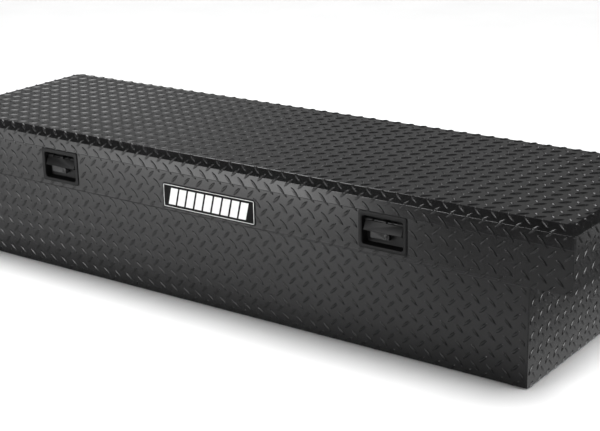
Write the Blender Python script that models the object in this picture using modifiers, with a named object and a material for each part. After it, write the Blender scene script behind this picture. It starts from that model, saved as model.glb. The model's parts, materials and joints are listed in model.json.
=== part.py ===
"""Crossover truck tool box: tub, wings, hinged lid, two paddle latches and two gas struts.

Metres, +Z up. X runs along the box, the front faces -Y, and the origin is the middle of the
underside. Each sub-part is one closed solid in one object.
"""

import math

import bmesh
import bpy
from mathutils import Matrix, Vector

# ---- Overall sizes ---------------------------------------------------------------------------
LID_LENGTH = 1.778
LID_DEPTH = 0.507
HEIGHT = 0.3515
WING = 0.0926  # how far each wing reaches past the tub
BAND_MARGIN = 0.0102  # band's lower edge below the latch flanges
SKIRT_HEIGHT = 0.0268
BEVEL_DROP = 0.0184
BEVEL_INSET = 0.01225
SET_BACK = 0.0036  # the band's face behind the lid's skirt

# ---- Sheet and clearances --------------------------------------------------------------------
SHEET = 0.0016
GAP = 0.0003  # between pieces that touch
PANEL_DROP = 0.0028  # lower panels stop this far below the latch dishes
PAN_DROP = 0.0015  # inner pan's top below the bevel
RIM_WIDE = 0.024  # front and rear rim flanges
RIM_NARROW = 0.016  # end rim flanges
SEAL_WIDTH = 0.012
SEAL_HEIGHT = 0.0074
CORE_INSET = 0.004

# ---- Piano hinge -----------------------------------------------------------------------------
KNUCKLE_RADIUS = 0.0034
KNUCKLE_BORE = 0.0016
PIN_RADIUS = 0.0012
LEAF = 0.0012
LEAF_SPARE = 0.0036  # lid leaf's upper edge below the inner pan
KNUCKLE_PITCH = 0.1
HINGE_SHORT = 0.06  # the hinge is at least this much shorter than the lid
KNUCKLE_SPACE = 0.0005
LEAF_SINK = 0.0001  # leaf's face inside the knuckle's side
HINGE_DROP = 0.0005  # knuckle below the lid's lower edge

# ---- Latches ---------------------------------------------------------------------------------
LATCH_X = 0.462
FLANGE_DROP = 0.0018  # flange's top edge below the lid's lower edge
FLANGE_SIDE = 0.009  # flange beside and below the dish
FLANGE = 0.002
DISH_WIDTH = 0.100
DISH_HEIGHT = 0.0615
DISH_TOP = 0.0105  # flange's top edge to the dish
DISH_DEPTH = 0.0205
DISH_WALL = 0.0014
SPINDLE_RADIUS = 0.0022
SPINDLE_OVERHANG = 0.003
SPINDLE_DROP = 0.0115  # spindle below the dish's top
PADDLE_SIDE = 0.004  # paddle's end to the dish's side
PADDLE_SHEET = 0.0022
PADDLE_START = 0.0031  # plate's upper edge, down from the spindle
PADDLE_LENGTH = 0.0185
PADDLE_LEAN = math.radians(27)
PADDLE_LIP = 0.0055
LIP_CLEAR = 0.0011  # paddle's lip in front of the lock's housing
BARREL_RADIUS = 0.005
BARREL_LENGTH = 0.016
BARREL_CLEAR = 0.0005  # barrels in front of the dish's back
TAIL_WIDTH = 0.008
TAIL_BACK = 0.0095
TAIL_DROP = 0.0145
TAIL_SHEET = 0.0032
TAIL_TOP = 0.0036
TAIL_SWING = 0.0035  # room behind the tail as it turns
TAIL_BITE = 0.003  # tail's end below the bolt's upper face
SLOT_WIDTH = 0.013
SPRING_TURNS = 5
SPRING_WIRE = 0.0006
SPRING_CLEAR = 0.0006
BOLT_WIDTH = 0.009
BOLT_HEIGHT = 0.008
BOLT_LIP = 0.0032  # bolt in front of the notch
NOTCH_FLOOR = 0.0012
NOSE_LENGTH = 0.009
NOSE_BEVEL = 0.005
GUIDE_WALL = 0.0024
GUIDE_LENGTH = 0.024
FIT = 0.0004  # sliding and turning clearance
LOCK_OFFSET = -0.012  # housing's middle from the latch's
PLUG_WALL = 0.0004  # housing beside the plug's bore
LOCK_WIDTH = 0.045
LOCK_HEIGHT = 0.016
LOCK_CLEAR = 0.001  # housing below the bolt
PLUG_RADIUS = 0.0052
PLUG_TAIL_RADIUS = 0.003
PLUG_PROUD = 0.0008
CAM_LENGTH = 0.013
CAM_WIDTH = 0.006
CAM_SHEET = 0.002
STRIKER_GAP = 0.0022
STRIKER_SHEET = 0.0025
STRIKER_WIDTH = 0.034
STRIKER_REACH = 0.008  # striker plate below the bolt
STRIKER_FOOT = 0.022

# ---- Gas struts ------------------------------------------------------------------------------
STRUT_LOW_FORWARD = 0.0633  # lower pivot in front of the hinge's axis
STRUT_LOW_DROP = 0.1665  # lower pivot below the hinge's axis
STRUT_HIGH_FORWARD = 0.1781  # upper pivot in front of the hinge's axis
STRUT_HIGH_DROP = 0.0242  # upper pivot below the lid's inner pan
STRUT_RADIUS = 0.009
ROD_RADIUS = 0.004
ROD_END_MARGIN = 0.006
EYE_RADIUS = 0.008
EYE_WIDTH = 0.010
STUD_RADIUS = 0.004
STUD_LENGTH = 0.009
STRUT_CLEAR = 0.001  # cylinder's side to the tub's bracket
STUD_END = 0.002
BRACKET_SHEET = 0.002
BRACKET_SIZE = 0.030
STRUT_TUBE = 0.148

# ---- Badge -----------------------------------------------------------------------------------
BADGE_WIDTH = 0.265
BADGE_HEIGHT = 0.058
BADGE_SHEET = 0.0015
BADGE_RISE = 0.006  # badge above the band's lower edge

ROUND = 24
SIDES = (("left", -1), ("right", 1))

# ---- Sizes that follow from the others -------------------------------------------------------
FLANGE_WIDTH = DISH_WIDTH + 2 * FLANGE_SIDE
FLANGE_HEIGHT = DISH_TOP + DISH_HEIGHT + FLANGE_SIDE
BAND_HEIGHT = FLANGE_DROP + FLANGE_HEIGHT + BAND_MARGIN
RIM_RISE = SKIRT_HEIGHT - PAN_DROP - SHEET - SEAL_HEIGHT - 2 * GAP
PADDLE_WIDTH = DISH_WIDTH - 2 * PADDLE_SIDE
SPINDLE_OUT = BARREL_RADIUS + BARREL_CLEAR
LIP_FORWARD = (BARREL_RADIUS - PADDLE_SHEET - PADDLE_LIP) * math.cos(PADDLE_LEAN)
LIP_SWEEP = (PADDLE_START + PADDLE_LENGTH) * math.sin(PADDLE_LEAN)
LOCK_DEPTH = SPINDLE_OUT + LIP_FORWARD + LIP_SWEEP - LIP_CLEAR - GAP
LOCK_DROP = BOLT_HEIGHT / 2 + LOCK_CLEAR + LOCK_HEIGHT / 2
PLUG_OFFSET = LOCK_WIDTH / 2 - PLUG_RADIUS - FIT - PLUG_WALL
EYE_STANDOFF = STRUT_RADIUS + STRUT_CLEAR - EYE_WIDTH / 2
BEVEL_Z = HEIGHT - BEVEL_DROP
SEAM_Z = BEVEL_Z - SKIRT_HEIGHT
RAIL_Z = SEAM_Z - BAND_HEIGHT
RIM_Z = SEAM_Z + RIM_RISE
SEAL_Z = RIM_Z + GAP + SEAL_HEIGHT
PAN_Z = SEAL_Z + GAP
LID_X = LID_LENGTH / 2
LID_Y = LID_DEPTH / 2
BAND_X = LID_X - SET_BACK
TUB_X = LID_X - WING
FRONT_Y = -(LID_Y - SET_BACK)
HINGE_Y = LID_Y - KNUCKLE_RADIUS
HINGE_Z = SEAM_Z - HINGE_DROP - KNUCKLE_RADIUS
REAR_Y = HINGE_Y - KNUCKLE_RADIUS - GAP
INNER_FRONT = FRONT_Y + SHEET + GAP
INNER_REAR = REAR_Y - SHEET - GAP
INNER_X = BAND_X - SHEET - GAP
KNUCKLE_COUNT = 2 * int(((LID_LENGTH - HINGE_SHORT) / KNUCKLE_PITCH - 1) / 2) + 1
LEAF_HEIGHT = PAN_Z - HINGE_Z - LEAF_SPARE
STRUT_LOW_Y = HINGE_Y - STRUT_LOW_FORWARD
STRUT_LOW_Z = HINGE_Z - STRUT_LOW_DROP
STRUT_HIGH_Y = HINGE_Y - STRUT_HIGH_FORWARD
STRUT_HIGH_Z = PAN_Z - STRUT_HIGH_DROP


def clear_scene():
    """Remove what the scene starts with."""
    for thing in list(bpy.data.objects):
        bpy.data.objects.remove(thing, do_unlink=True)


def new_collection(name):
    """A collection linked to the scene."""
    group = bpy.data.collections.new(name)
    bpy.context.scene.collection.children.link(group)
    return group


clear_scene()
PARTS = new_collection("truck_tool_box")
CUTTERS = new_collection("cutters")


def finish_of(color, roughness, metallic):
    """A function that makes one piece's own material of this finish."""

    def make(name):
        material = bpy.data.materials.new(name)
        material.use_nodes = True
        shader = material.node_tree.nodes["Principled BSDF"]
        shader.inputs["Base Color"].default_value = (*color, 1.0)
        shader.inputs["Roughness"].default_value = roughness
        shader.inputs["Metallic"].default_value = metallic
        return material

    return make


tread = finish_of((0.025, 0.025, 0.027), 0.32, 0.3)
black_sheet = finish_of((0.02, 0.02, 0.021), 0.42, 0.2)
steel = finish_of((0.62, 0.62, 0.63), 0.28, 1.0)
black_steel = finish_of((0.018, 0.018, 0.019), 0.3, 0.3)
rubber = finish_of((0.012, 0.012, 0.012), 0.85, 0.0)
foam = finish_of((0.62, 0.58, 0.45), 0.9, 0.0)
label = finish_of((0.01, 0.01, 0.01), 0.3, 0.0)


# ---- Building blocks -------------------------------------------------------------------------
def add_object(name, mesh, origin, finish=None):
    """Link a mesh as a part, or as a hidden cutter where it has no finish."""
    thing = bpy.data.objects.new(name, mesh)
    thing.location = origin
    if finish is None:
        CUTTERS.objects.link(thing)
        thing.hide_render = True
        thing.display_type = "WIRE"
    else:
        PARTS.objects.link(thing)
        mesh.materials.append(finish(name))
    return thing


def mesh_of(name, shape):
    """Turn a bmesh into a mesh."""
    mesh = bpy.data.meshes.new(name)
    bmesh.ops.recalc_face_normals(shape, faces=shape.faces)
    shape.to_mesh(mesh)
    shape.free()
    return mesh


def block(name, low, high, finish=None, origin=None):
    """A box between two corners, with its origin at the middle or where it is told."""
    low = Vector(low)
    high = Vector(high)
    middle = (low + high) / 2
    origin = Vector(origin) if origin is not None else middle
    size = high - low
    shape = bmesh.new()
    bmesh.ops.create_cube(
        shape,
        size=1.0,
        matrix=Matrix.Translation(middle - origin) @ Matrix.Diagonal((*size, 1.0)),
    )
    return add_object(name, mesh_of(name, shape), origin, finish)


def rod_between(name, start, end, radius, finish=None, origin=None, sides=ROUND):
    """A cylinder from one point to another."""
    start = Vector(start)
    end = Vector(end)
    origin = Vector(origin) if origin is not None else (start + end) / 2
    along = end - start
    turn = along.to_track_quat("Z", "Y").to_matrix().to_4x4()
    shape = bmesh.new()
    bmesh.ops.create_cone(
        shape,
        cap_ends=True,
        segments=sides,
        radius1=radius,
        radius2=radius,
        depth=along.length,
        matrix=Matrix.Translation((start + end) / 2 - origin) @ turn,
    )
    mesh = mesh_of(name, shape)
    mesh.shade_smooth()
    mesh.set_sharp_from_angle(angle=math.radians(40))
    return add_object(name, mesh, origin, finish)


def prism(name, outline, x_low, x_high, finish=None, origin=(0, 0, 0)):
    """A Y-Z outline carried along X."""
    origin = Vector(origin)
    shape = bmesh.new()
    corners = [shape.verts.new(Vector((x_low, y, z)) - origin) for y, z in outline]
    face = shape.faces.new(corners)
    moved = bmesh.ops.extrude_face_region(shape, geom=[face])
    side = [item for item in moved["geom"] if isinstance(item, bmesh.types.BMVert)]
    bmesh.ops.translate(shape, verts=side, vec=(x_high - x_low, 0, 0))
    return add_object(name, mesh_of(name, shape), origin, finish)


def combine(thing, other, operation):
    """Join or cut one object with another that stays hidden."""
    step = thing.modifiers.new(other.name, "BOOLEAN")
    step.operation = operation
    step.solver = "EXACT"
    step.object = other


def join(thing, *others):
    """Unite an object with each of the others."""
    for other in others:
        combine(thing, other, "UNION")


def cut(thing, *others):
    """Cut each of the others out of an object."""
    for other in others:
        combine(thing, other, "DIFFERENCE")


def soften(thing, width, angle=40):
    """Round an object's edges."""
    step = thing.modifiers.new("edges", "BEVEL")
    step.width = width
    step.segments = 2
    step.limit_method = "ANGLE"
    step.angle_limit = math.radians(angle)


# ---- Tub and wings ---------------------------------------------------------------------------
def make_tub():
    """The narrow lower part that hangs between the bed walls."""
    panel_top = dish_levels()[1] - DISH_WALL - PANEL_DROP
    panel_x = TUB_X - SHEET - GAP
    block(
        "lower_front_panel",
        (-panel_x, INNER_FRONT, 0),
        (panel_x, INNER_FRONT + SHEET, panel_top),
        tread,
    )
    block(
        "lower_rear_panel",
        (-panel_x, INNER_REAR - SHEET, 0),
        (panel_x, INNER_REAR, panel_top),
        tread,
    )
    block(
        "tub_floor",
        (-panel_x, INNER_FRONT + SHEET + GAP, 0),
        (panel_x, INNER_REAR - SHEET - GAP, SHEET),
        tread,
    )
    for side, sign in SIDES:
        block(
            f"{side}_end_panel",
            (sign * (TUB_X - SHEET), INNER_FRONT, 0),
            (sign * TUB_X, INNER_REAR, RAIL_Z + SHEET),
            tread,
        )


def make_wings():
    """The wing at each end, which rests on the bed rail."""
    for side, sign in SIDES:
        block(
            f"{side}_wing_floor",
            (sign * (TUB_X + GAP), INNER_FRONT, RAIL_Z),
            (sign * INNER_X, INNER_REAR, RAIL_Z + SHEET),
            tread,
        )
        block(
            f"{side}_wing_end",
            (sign * (BAND_X - SHEET), INNER_FRONT, RAIL_Z),
            (sign * BAND_X, INNER_REAR, RIM_Z),
            tread,
        )


def latch_hole(sign):
    """The opening in the front band that a latch dish passes through."""
    top, bottom = dish_levels()
    reach = DISH_WALL + GAP
    return block(
        f"latch_hole_{sign}",
        (sign * LATCH_X - DISH_WIDTH / 2 - reach, FRONT_Y - SHEET, bottom - reach),
        (sign * LATCH_X + DISH_WIDTH / 2 + reach, FRONT_Y + 2 * SHEET, top + reach),
    )


def make_bands():
    """The wide upper front and rear, from wing to wing."""
    front = block(
        "front_band",
        (-BAND_X, FRONT_Y, RAIL_Z),
        (BAND_X, FRONT_Y + SHEET, RIM_Z),
        tread,
    )
    for _, sign in SIDES:
        cut(front, latch_hole(sign))
    block("rear_band", (-BAND_X, REAR_Y - SHEET, RAIL_Z), (BAND_X, REAR_Y, RIM_Z), tread)


def make_rim():
    """The flanges round the opening, and the weatherstrip on them."""
    low = RIM_Z - SHEET
    block(
        "front_rim",
        (-INNER_X, INNER_FRONT, low),
        (INNER_X, INNER_FRONT + RIM_WIDE, RIM_Z),
        black_sheet,
    )
    block(
        "rear_rim",
        (-INNER_X, INNER_REAR - RIM_WIDE, low),
        (INNER_X, INNER_REAR, RIM_Z),
        black_sheet,
    )
    for side, sign in SIDES:
        block(
            f"{side}_rim",
            (sign * (INNER_X - RIM_NARROW), INNER_FRONT + RIM_WIDE + GAP, low),
            (sign * INNER_X, INNER_REAR - RIM_WIDE - GAP, RIM_Z),
            black_sheet,
        )
    edge = (RIM_NARROW - SEAL_WIDTH) / 2
    seal = block(
        "weatherstrip",
        (-INNER_X + edge, INNER_FRONT + edge, RIM_Z + GAP),
        (INNER_X - edge, INNER_REAR - edge, SEAL_Z),
        rubber,
    )
    inner = edge + SEAL_WIDTH
    cut(
        seal,
        block(
            "seal_opening",
            (-INNER_X + inner, INNER_FRONT + inner, RIM_Z),
            (INNER_X - inner, INNER_REAR - inner, SEAL_Z + SHEET),
        ),
    )


# ---- Lid -------------------------------------------------------------------------------------
def make_lid_skin():
    """The folded sheet: flat top, sloping bevel and vertical skirt, open underneath."""
    pivot = Vector((0, HINGE_Y, HINGE_Z))
    shape = bmesh.new()
    levels = (
        (LID_X - BEVEL_INSET, LID_Y - BEVEL_INSET, HEIGHT),
        (LID_X, LID_Y, BEVEL_Z),
        (LID_X, LID_Y, SEAM_Z),
    )
    rings = []
    for half_x, half_y, z in levels:
        signs = ((-1, -1), (1, -1), (1, 1), (-1, 1))
        rings.append([shape.verts.new(Vector((a * half_x, b * half_y, z)) - pivot) for a, b in signs])
    shape.faces.new(rings[0])
    for upper, lower in zip(rings, rings[1:]):
        for here in range(4):
            after = (here + 1) % 4
            shape.faces.new((upper[here], lower[here], lower[after], upper[after]))
    skin = add_object("lid_skin", mesh_of("lid_skin", shape), pivot, tread)
    shell = skin.modifiers.new("sheet", "SOLIDIFY")
    shell.thickness = SHEET
    shell.offset = -1.0
    shell.use_even_offset = True


def make_lid_inside():
    """The inner pan that closes on the weatherstrip, and the foam core above it."""
    pivot = (0, HINGE_Y, HINGE_Z)
    pan_x = LID_X - SHEET - GAP
    pan_y = LID_Y - SHEET - GAP
    block("lid_inner_pan", (-pan_x, -pan_y, PAN_Z), (pan_x, pan_y, PAN_Z + SHEET), black_sheet, pivot)
    core_x = LID_X - BEVEL_INSET - CORE_INSET
    core_y = LID_Y - BEVEL_INSET - CORE_INSET
    block(
        "lid_foam_core",
        (-core_x, -core_y, PAN_Z + SHEET + GAP),
        (core_x, core_y, HEIGHT - SHEET - GAP),
        foam,
        pivot,
    )


# ---- Piano hinge -----------------------------------------------------------------------------
def knuckle_spans(first):
    """X ranges of every other knuckle, starting with this one."""
    start = -KNUCKLE_COUNT * KNUCKLE_PITCH / 2
    for index in range(first, KNUCKLE_COUNT, 2):
        low = start + index * KNUCKLE_PITCH + KNUCKLE_SPACE / 2
        yield low, low + KNUCKLE_PITCH - KNUCKLE_SPACE


def tubes(name, spans, y, z, outer, inner):
    """Solid rods for the knuckles, and one rod for the bore through them all."""
    rods = []
    for number, (low, high) in enumerate(spans):
        rods.append(rod_between(f"{name}_knuckle_{number}", (low, y, z), (high, y, z), outer, sides=16))
    reach = KNUCKLE_COUNT * KNUCKLE_PITCH / 2 + SHEET
    bore = rod_between(f"{name}_bore", (-reach, y, z), (reach, y, z), inner, sides=12)
    return rods, bore


def make_leaf(name, first, tab_low, tab_high, plate_low, plate_high, leaf_y):
    """A leaf: a long plate, a tab up to each of its knuckles, and the knuckles."""
    pivot = (0, HINGE_Y, HINGE_Z)
    length = KNUCKLE_COUNT * KNUCKLE_PITCH / 2
    leaf = block(
        name,
        (-length, leaf_y, HINGE_Z + plate_low),
        (length, leaf_y + LEAF, HINGE_Z + plate_high),
        steel,
        pivot,
    )
    spans = list(knuckle_spans(first))
    for number, (low, high) in enumerate(spans):
        join(
            leaf,
            block(
                f"{name}_tab_{number}",
                (low, leaf_y, HINGE_Z + tab_low),
                (high, leaf_y + LEAF, HINGE_Z + tab_high),
            ),
        )
    rods, bore = tubes(name, spans, HINGE_Y, HINGE_Z, KNUCKLE_RADIUS, KNUCKLE_BORE)
    join(leaf, *rods)
    cut(leaf, bore)


def make_hinge():
    """The two leaves and the pin."""
    clear = KNUCKLE_RADIUS + HINGE_DROP
    make_leaf(
        "hinge_body_leaf",
        0,
        -clear - LEAF,
        0,
        -LEAF_HEIGHT,
        -clear,
        HINGE_Y - KNUCKLE_RADIUS + LEAF_SINK,
    )
    make_leaf(
        "hinge_lid_leaf",
        1,
        2 * PIN_RADIUS,
        clear + LEAF,
        clear,
        LEAF_HEIGHT,
        LID_Y - SHEET - GAP - LEAF,
    )
    reach = KNUCKLE_COUNT * KNUCKLE_PITCH / 2
    rod_between(
        "hinge_pin",
        (-reach, HINGE_Y, HINGE_Z),
        (reach, HINGE_Y, HINGE_Z),
        PIN_RADIUS,
        steel,
        sides=12,
    )


# ---- Latches ---------------------------------------------------------------------------------
def flange_top():
    """Height of a latch flange's upper edge."""
    return SEAM_Z - FLANGE_DROP


def dish_levels():
    """Upper and lower edges of a dish's opening."""
    top = flange_top() - DISH_TOP
    return top, top - DISH_HEIGHT


def dish_back():
    """Front face of a dish's back wall."""
    return FRONT_Y - GAP - FLANGE + DISH_DEPTH


def spindle_axis(x):
    """Where a paddle turns."""
    return Vector((x, dish_back() - SPINDLE_OUT, dish_levels()[0] - SPINDLE_DROP))


def bolt_middle():
    """Height of a latch bolt's middle."""
    return spindle_axis(0).z - TAIL_DROP + TAIL_BITE - BOLT_HEIGHT / 2


def make_dish(side, x):
    """The flanged pan that the paddle sits in."""
    top, bottom = dish_levels()
    face = FRONT_Y - GAP - FLANGE
    back = dish_back()
    half = DISH_WIDTH / 2
    dish = block(
        f"{side}_latch_dish",
        (x - FLANGE_WIDTH / 2, face, flange_top() - FLANGE_HEIGHT),
        (x + FLANGE_WIDTH / 2, face + FLANGE, flange_top()),
        black_sheet,
    )
    wall = DISH_WALL
    join(
        dish,
        block(
            f"{side}_dish_outside",
            (x - half - wall, face + FLANGE / 2, bottom - wall),
            (x + half + wall, back + wall, top + wall),
        ),
    )
    cut(
        dish,
        block(f"{side}_dish_inside", (x - half, face - wall, bottom), (x + half, back, top)),
    )
    axis = spindle_axis(x)
    reach = half + wall + SPINDLE_OVERHANG
    low = bolt_middle() - BOLT_HEIGHT / 2 - FIT
    lock = lock_axis(x)
    cut(
        dish,
        rod_between(
            f"{side}_spindle_holes",
            axis - Vector((reach, 0, 0)),
            axis + Vector((reach, 0, 0)),
            SPINDLE_RADIUS + FIT,
        ),
        block(
            f"{side}_tail_slot",
            (x - SLOT_WIDTH / 2, back - wall / 2, low),
            (x + SLOT_WIDTH / 2, back + 2 * wall, top - wall),
        ),
        rod_between(
            f"{side}_lock_hole",
            lock + Vector((0, -wall, 0)),
            lock + Vector((0, 2 * wall, 0)),
            PLUG_TAIL_RADIUS + FIT,
        ),
    )


def make_paddle(side, x):
    """The paddle: a leaning plate with a turned-in lip, two barrels and the tail."""
    axis = spindle_axis(x)
    half = PADDLE_WIDTH / 2
    lean = Vector((0, -math.sin(PADDLE_LEAN), -math.cos(PADDLE_LEAN)))
    out = Vector((0, -math.cos(PADDLE_LEAN), math.sin(PADDLE_LEAN)))
    near = BARREL_RADIUS - PADDLE_SHEET
    start = axis + out * near + lean * PADDLE_START
    end = start + lean * PADDLE_LENGTH
    lip = end - out * PADDLE_LIP
    skin = out * PADDLE_SHEET
    edge = lean * PADDLE_SHEET
    points = (start, start + skin, end + skin + edge, lip + edge, lip, end)
    paddle = prism(
        f"{side}_paddle",
        [(point.y, point.z) for point in points],
        x - half,
        x + half,
        black_sheet,
        axis,
    )
    for number, sign in enumerate((-1, 1)):
        inner = x + sign * (half - BARREL_LENGTH)
        join(
            paddle,
            rod_between(
                f"{side}_barrel_{number}",
                (inner, axis.y, axis.z),
                (x + sign * half, axis.y, axis.z),
                BARREL_RADIUS,
            ),
        )
    tail_half = TAIL_WIDTH / 2
    back = axis.y + TAIL_BACK
    join(
        paddle,
        block(
            f"{side}_tail_arm",
            (x - tail_half, start.y - PADDLE_SHEET, axis.z - BARREL_RADIUS),
            (x + tail_half, back, axis.z + TAIL_TOP),
        ),
        block(
            f"{side}_tail_drop",
            (x - tail_half, back - TAIL_SHEET, axis.z - TAIL_DROP),
            (x + tail_half, back, axis.z),
        ),
    )
    cut(
        paddle,
        rod_between(
            f"{side}_paddle_bore",
            axis - Vector((half + FIT, 0, 0)),
            axis + Vector((half + FIT, 0, 0)),
            SPINDLE_RADIUS + FIT,
        ),
    )


def make_spindle(side, x):
    """The rod that the paddle turns on, held in the dish's side walls."""
    axis = spindle_axis(x)
    reach = Vector((DISH_WIDTH / 2 + DISH_WALL + SPINDLE_OVERHANG, 0, 0))
    rod_between(f"{side}_spindle", axis - reach, axis + reach, SPINDLE_RADIUS, black_steel, axis)


def make_return_spring(side, x):
    """The coil round the spindle that brings the paddle back."""
    axis = spindle_axis(x)
    radius = SPINDLE_RADIUS + SPRING_CLEAR + SPRING_WIRE
    pitch = 3 * SPRING_WIRE
    per_turn = 12
    points = SPRING_TURNS * per_turn + 1
    middle = x + TAIL_WIDTH + SPRING_TURNS * pitch
    wire = bpy.data.curves.new(f"{side}_return_spring", "CURVE")
    wire.dimensions = "3D"
    wire.bevel_depth = SPRING_WIRE
    wire.bevel_resolution = 0
    wire.use_fill_caps = True
    path = wire.splines.new("POLY")
    path.points.add(points - 1)
    for number, point in enumerate(path.points):
        angle = math.tau * number / per_turn
        along = pitch * (number / per_turn - SPRING_TURNS / 2)
        point.co = (along, radius * math.cos(angle), radius * math.sin(angle), 1)
    spring = bpy.data.objects.new(f"{side}_return_spring", wire)
    spring.location = (middle, axis.y, axis.z)
    PARTS.objects.link(spring)
    wire.materials.append(black_steel(f"{side}_return_spring"))


def lock_axis(x):
    """Middle of a lock plug, at the front face of the dish's back wall."""
    return Vector((x + LOCK_OFFSET + PLUG_OFFSET, dish_back(), bolt_middle() - LOCK_DROP))


def make_lock(side, x):
    """The lock's housing in the dish, and the plug with its cam behind."""
    axis = lock_axis(x)
    front = axis.y - GAP - LOCK_DEPTH
    housing = block(
        f"{side}_lock_housing",
        (x + LOCK_OFFSET - LOCK_WIDTH / 2, front, axis.z - LOCK_HEIGHT / 2),
        (x + LOCK_OFFSET + LOCK_WIDTH / 2, axis.y - GAP, axis.z + LOCK_HEIGHT / 2),
        black_sheet,
    )
    cut(
        housing,
        rod_between(
            f"{side}_lock_bore",
            (axis.x, front - GAP, axis.z),
            (axis.x, axis.y, axis.z),
            PLUG_RADIUS + FIT,
        ),
    )
    shoulder = axis.y - 2 * GAP
    cam_front = axis.y + DISH_WALL + GAP
    cam_back = cam_front + CAM_SHEET
    plug = rod_between(
        f"{side}_lock_plug",
        (axis.x, front - PLUG_PROUD, axis.z),
        (axis.x, shoulder, axis.z),
        PLUG_RADIUS,
        black_steel,
        axis,
    )
    join(
        plug,
        rod_between(
            f"{side}_plug_tail",
            (axis.x, shoulder - GAP, axis.z),
            (axis.x, cam_back, axis.z),
            PLUG_TAIL_RADIUS,
        ),
        block(
            f"{side}_lock_cam",
            (axis.x - CAM_WIDTH / 2, cam_front, axis.z - CAM_LENGTH),
            (axis.x + CAM_WIDTH / 2, cam_back, axis.z + PLUG_TAIL_RADIUS),
        ),
    )


def guide_span():
    """Front and rear of a bolt guide."""
    front = dish_back() + DISH_WALL + GAP
    return front, front + GUIDE_LENGTH


def make_bolt(side, x):
    """The sliding bolt, with a notch for the paddle's tail and a bevelled nose."""
    axis = spindle_axis(x)
    middle = bolt_middle()
    low = middle - BOLT_HEIGHT / 2
    high = middle + BOLT_HEIGHT / 2
    tail_back = axis.y + TAIL_BACK
    front = tail_back - TAIL_SHEET - FIT - BOLT_LIP
    tip = guide_span()[1] + NOSE_LENGTH
    outline = (
        (front, low),
        (tip, low),
        (tip, high - NOSE_BEVEL),
        (tip - NOSE_BEVEL, high),
        (front, high),
    )
    origin = (x, guide_span()[0], middle)
    bolt = prism(
        f"{side}_latch_bolt",
        outline,
        x - BOLT_WIDTH / 2,
        x + BOLT_WIDTH / 2,
        steel,
        origin,
    )
    cut(
        bolt,
        block(
            f"{side}_bolt_notch",
            (x - BOLT_WIDTH, tail_back - TAIL_SHEET - FIT, low + NOTCH_FLOOR),
            (x + BOLT_WIDTH, tail_back + TAIL_SWING + FIT, high + SHEET),
        ),
    )


def make_guide(side, x):
    """The channel that the bolt slides in, closed over near its rear end."""
    front, rear = guide_span()
    middle = bolt_middle()
    half_x = BOLT_WIDTH / 2 + FIT
    half_z = BOLT_HEIGHT / 2 + FIT
    guide = block(
        f"{side}_bolt_guide",
        (x - half_x - GUIDE_WALL, front, middle - half_z - GUIDE_WALL),
        (x + half_x + GUIDE_WALL, rear, middle + half_z + GUIDE_WALL),
        black_sheet,
    )
    open_to = front + GUIDE_LENGTH / 2
    cut(
        guide,
        block(
            f"{side}_guide_bore",
            (x - half_x, front - SHEET, middle - half_z),
            (x + half_x, rear + SHEET, middle + half_z),
        ),
        block(
            f"{side}_guide_mouth",
            (x - half_x, front - SHEET, middle),
            (x + half_x, open_to, middle + half_z + 2 * GUIDE_WALL),
        ),
    )


def make_striker(side, x):
    """The plate that hangs from the lid, with a window that faces the bolt."""
    middle = bolt_middle()
    face = guide_span()[1] + NOSE_LENGTH + STRIKER_GAP
    low = middle - BOLT_HEIGHT / 2 - STRIKER_REACH
    top = PAN_Z - GAP
    half = STRIKER_WIDTH / 2
    pivot = (0, HINGE_Y, HINGE_Z)
    striker = block(
        f"{side}_striker",
        (x - half, face, low),
        (x + half, face + STRIKER_SHEET, top),
        steel,
        pivot,
    )
    join(
        striker,
        block(
            f"{side}_striker_foot",
            (x - half, face, top - STRIKER_SHEET),
            (x + half, face + STRIKER_FOOT, top),
        ),
    )
    window_x = BOLT_WIDTH / 2 + STRIKER_SHEET
    window_z = BOLT_HEIGHT / 2 + STRIKER_SHEET
    cut(
        striker,
        block(
            f"{side}_striker_window",
            (x - window_x, face - SHEET, middle - window_z),
            (x + window_x, face + 2 * STRIKER_SHEET, middle + window_z),
        ),
    )


def make_latches():
    """Everything that belongs to the two latches."""
    for side, sign in SIDES:
        x = sign * LATCH_X
        make_dish(side, x)
        make_paddle(side, x)
        make_spindle(side, x)
        make_return_spring(side, x)
        make_lock(side, x)
        make_guide(side, x)
        make_bolt(side, x)
        make_striker(side, x)


# ---- Gas struts ------------------------------------------------------------------------------
def make_strut(side, sign):
    """A cylinder pinned low on the tub's end, and a rod that reaches up to the lid."""
    wall = TUB_X - SHEET - GAP
    middle = sign * (wall - BRACKET_SHEET - EYE_STANDOFF - EYE_WIDTH / 2)
    low = Vector((middle, STRUT_LOW_Y, STRUT_LOW_Z))
    high = Vector((middle, STRUT_HIGH_Y, STRUT_HIGH_Z))
    along = (high - low).normalized()
    eye = Vector((EYE_WIDTH / 2, 0, 0))
    past = Vector((EYE_WIDTH, 0, 0))
    tube_start = low + along * (EYE_RADIUS / 2)
    tube_end = low + along * (EYE_RADIUS + STRUT_TUBE)
    bore_start = low + along * (2 * EYE_RADIUS - ROD_RADIUS)
    cylinder = rod_between(
        f"{side}_strut_cylinder", tube_start, tube_end, STRUT_RADIUS, black_sheet, low
    )
    join(cylinder, rod_between(f"{side}_low_eye", low - eye, low + eye, EYE_RADIUS))
    cut(
        cylinder,
        rod_between(
            f"{side}_strut_bore", bore_start, tube_end + along * SHEET, ROD_RADIUS + FIT
        ),
        rod_between(f"{side}_eye_bore", low - past, low + past, STUD_RADIUS + FIT),
    )
    rod = rod_between(
        f"{side}_strut_rod",
        bore_start + along * ROD_END_MARGIN,
        high - along * (EYE_RADIUS / 2),
        ROD_RADIUS,
        steel,
        high,
    )
    join(rod, rod_between(f"{side}_high_eye", high - eye, high + eye, EYE_RADIUS))
    make_low_bracket(side, sign, low, wall)
    make_high_bracket(side, sign, high)


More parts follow.
